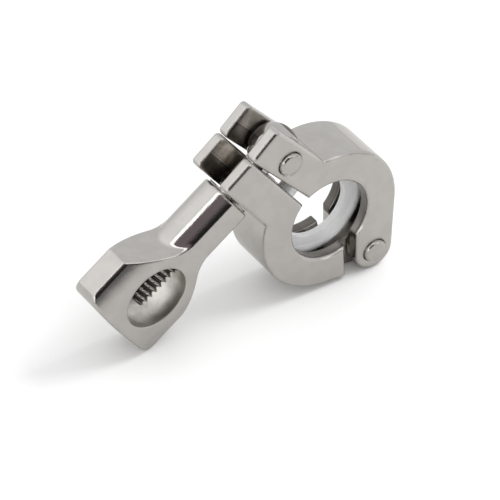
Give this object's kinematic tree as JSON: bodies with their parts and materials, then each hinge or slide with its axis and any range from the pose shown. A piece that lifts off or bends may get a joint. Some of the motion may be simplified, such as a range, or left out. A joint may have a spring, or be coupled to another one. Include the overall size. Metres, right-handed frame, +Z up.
{
  "type": "sanitary hinged clamp",
  "caption": "Hinged clamp that draws two pipe ferrules together over a gasket: two jaws on a pin, a swing bolt in forked arms, and a wing nut.",
  "frame": {"origin": "centre of the gasket's bore, midway between the clamp's broad faces", "axes": "+Y along the pipe, from the front face to the back; +Z up, as the empty clamp rests on its hinge lugs and the wing nut's corner; +X from the wing nut towards the hinge"},
  "size_m": [0.0762, 0.0148, 0.049],
  "materials": {
    "casting": "satin cast stainless steel with polished edges",
    "pin": "satin stainless steel",
    "bolt": "bright turned stainless steel",
    "washer": "bright stainless steel",
    "gasket": "smooth white moulding"
  },
  "bodies": {
    "lower_jaw": {"lower_jaw": "casting", "gasket": "gasket"},
    "upper_jaw": {"upper_jaw": "casting", "hinge_pin": "pin", "bolt_pin": "pin"},
    "swing_bolt": {"swing_bolt": "bolt"},
    "washer": {"washer": "washer"},
    "wing_nut": {"wing_nut": "casting"}
  },
  "joints": [
    {"name": "jaw_open", "type": "hinge", "parent": "lower_jaw", "child": "upper_jaw", "pos_m": [0.01276, 0, -0.01386], "axis": [0, 1, 0], "range_deg": [0, 15]},
    {"name": "bolt_swing", "type": "hinge", "parent": "upper_jaw", "child": "swing_bolt", "pos_m": [-0.0117, 0, 0.02032], "axis": [0, 1, 0], "range_deg": [0, 80]},
    {"name": "nut_travel", "type": "slide", "parent": "swing_bolt", "child": "washer", "axis": [-0.8039, 0, -0.5948], "range_m": [0, 0.027]},
    {"name": "nut_turn", "type": "hinge", "parent": "washer", "child": "wing_nut", "pos_m": [-0.0117, 0, 0.02032], "axis": [-0.8039, 0, -0.5948], "range_deg": [0, 6890]}
  ],
  "couplings": [
    {"joint": "nut_travel", "follows": "nut_turn", "m_per_rad": 0.0002244},
    {"joint": "bolt_swing", "follows": "nut_turn", "ratio": 0.0116},
    {"joint": "jaw_open", "follows": "nut_turn", "ratio": 0.00217}
  ]
}
